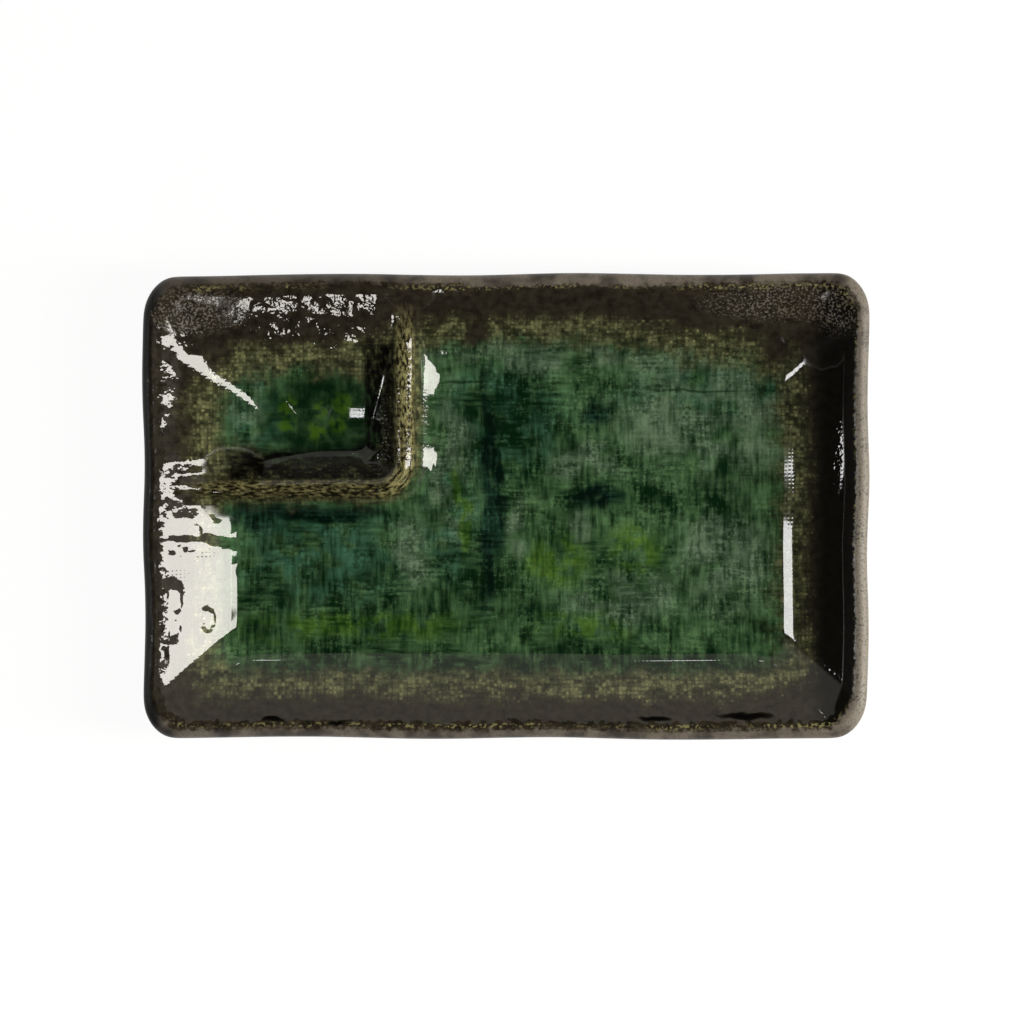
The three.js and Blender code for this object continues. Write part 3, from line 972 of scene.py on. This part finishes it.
PICTURE_WIDTH = 310 * MM
CAMERA_HEIGHT = 1.2
CAMERA_OVER = (1.9 * MM, -1.7 * MM)
SENSOR_WIDTH = 36
FLOOR_SIZE = 20.0
FLOOR_WHITE = (0.92, 0.92, 0.92, 1)
FLOOR_ROUGHNESS = 0.9
FLOOR_GLOW = 0.85
GLOW_STRENGTH = 1.09
ROOM_DARK = (0.02, 0.02, 0.02, 1)
ROOM_LIGHT = (0.44, 0.42, 0.38, 1)
BACK_WALL_STARTS = (0.10, 0.20)
BACK_WALL_TOP = (0.77, 0.73)
RIGHT_WALL_STARTS = (0.5, 0.7)
RIGHT_WALL_TOP = (0.6, 0.4)
WARM = (1.0, 0.97, 0.90)
WHITE = (1.0, 1.0, 1.0)

# Each lamp: the way to it in degrees, its distance, its lowest and highest elevation, its span across,
# its radiance and its colour
LAMPS = {
    "right_softbox": (0, 0.9, (8, 57), (-0.175, 0.018), 12.3, WARM),
    "right_wing": (0, 0.9, (57, 71), (-0.060, 0.002), 12.3, WARM),
    "left_softbox": (180, 0.9, (26.5, 48), (-0.079, 0.011), 12.0, WHITE),
    "front_card": (-90, 0.9, (26, 37), (-0.145, -0.045), 11.0, WARM),
    "front_dot": (-90, 0.9, (70, 73), (-0.0862, -0.0846), 40.0, WHITE),
    "back_strip": (90, 0.9, (35, 36), (0.068, 0.112), 14.0, WHITE),
    "back_dash": (90, 0.9, (35, 36), (-0.162, -0.132), 14.0, WHITE),
}


def table():
    """A white table top that keeps the plate's shadow and shows white to the camera."""
    deselect_all()
    bpy.ops.mesh.primitive_plane_add(size=FLOOR_SIZE, location=(0, 0, 0))
    top = bpy.context.object
    top.name = "table"
    made, brush, shader = material("table_white")
    shader.inputs["Base Color"].default_value = FLOOR_WHITE
    shader.inputs["Roughness"].default_value = FLOOR_ROUGHNESS
    path = brush.put("ShaderNodeLightPath", {}).outputs
    seen = brush.most(path["Is Camera Ray"], path["Is Glossy Ray"], path["Is Transmission Ray"])
    glow = {"Color": (1, 1, 1, 1), "Strength": GLOW_STRENGTH}
    glow = brush.put("ShaderNodeEmission", glow).outputs[0]
    share = brush.times(seen, FLOOR_GLOW)
    both = brush.put("ShaderNodeMixShader", {0: share, 1: shader.outputs[0], 2: glow}).outputs[0]
    brush.links.new(both, brush.nodes["Material Output"].inputs["Surface"])
    top.data.materials.append(made)


def softbox(name, azimuth, reach, elevations, across, radiance, colour):
    """A rectangular lamp that faces the plate and fills a span of elevations and a span across."""
    low, high = np.radians(elevations)
    turn = math.radians(azimuth)
    lift = (low + high) / 2
    away = Vector((math.cos(lift) * math.cos(turn), math.cos(lift) * math.sin(turn), math.sin(lift)))
    sideways = Vector((abs(math.sin(turn)), abs(math.cos(turn)), 0))
    lamp = bpy.data.lights.new(name, "AREA")
    lamp.shape = "RECTANGLE"
    lamp.size = across[1] - across[0]
    lamp.size_y = 2 * reach * math.tan((high - low) / 2)
    lamp.energy = radiance * math.pi * lamp.size * lamp.size_y
    lamp.color = colour
    box = bpy.data.objects.new(name, lamp)
    box.location = away * reach + sideways * sum(across) / 2
    box.rotation_euler = away.to_track_quat("Z", "Y").to_euler()
    bpy.context.scene.collection.objects.link(box)


def camera():
    lens = bpy.data.cameras.new("camera")
    lens.sensor_width = SENSOR_WIDTH
    lens.lens = SENSOR_WIDTH * CAMERA_HEIGHT / PICTURE_WIDTH
    eye = bpy.data.objects.new("camera", lens)
    eye.location = (*CAMERA_OVER, RIM_Z + CAMERA_HEIGHT)
    bpy.context.scene.collection.objects.link(eye)
    bpy.context.scene.camera = eye


def studio():
    scene = bpy.context.scene
    scene.view_settings.view_transform = "Standard"
    world = bpy.data.worlds.new("studio")
    world.use_nodes = True
    brush = Brush(world.node_tree)
    way = brush.put("ShaderNodeTexCoord", {}).outputs["Generated"]
    side, back, up = brush.parts(way)
    wall = brush.times(brush.band(back, *BACK_WALL_STARTS), brush.band(up, *BACK_WALL_TOP))
    right = brush.times(brush.band(side, *RIGHT_WALL_STARTS), brush.band(up, *RIGHT_WALL_TOP))
    room = brush.mix(brush.most(wall, right), ROOM_DARK, ROOM_LIGHT)
    brush.links.new(room, brush.nodes["Background"].inputs["Color"])
    scene.world = world
    table()
    for name, lamp in LAMPS.items():
        softbox(name, *lamp)
    camera()


# Assembly

grit = fine_grit()
clay = clay_finish(grit)
coat = glaze_coat()
coat.data.materials.append(glaze_finish(pressed_cloth(), grit))
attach(coat, "root")
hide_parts("main_well_glaze", "dip_well_glaze", "divider_glaze", "wall_glaze", "base_glaze")

foot = bare_foot()
foot.data.materials.append(clay)
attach(foot, "root")
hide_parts("foot_ring")

for name in ("plate_body", "divider_wall"):
    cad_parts[name].material_slots[0].material = clay

studio()
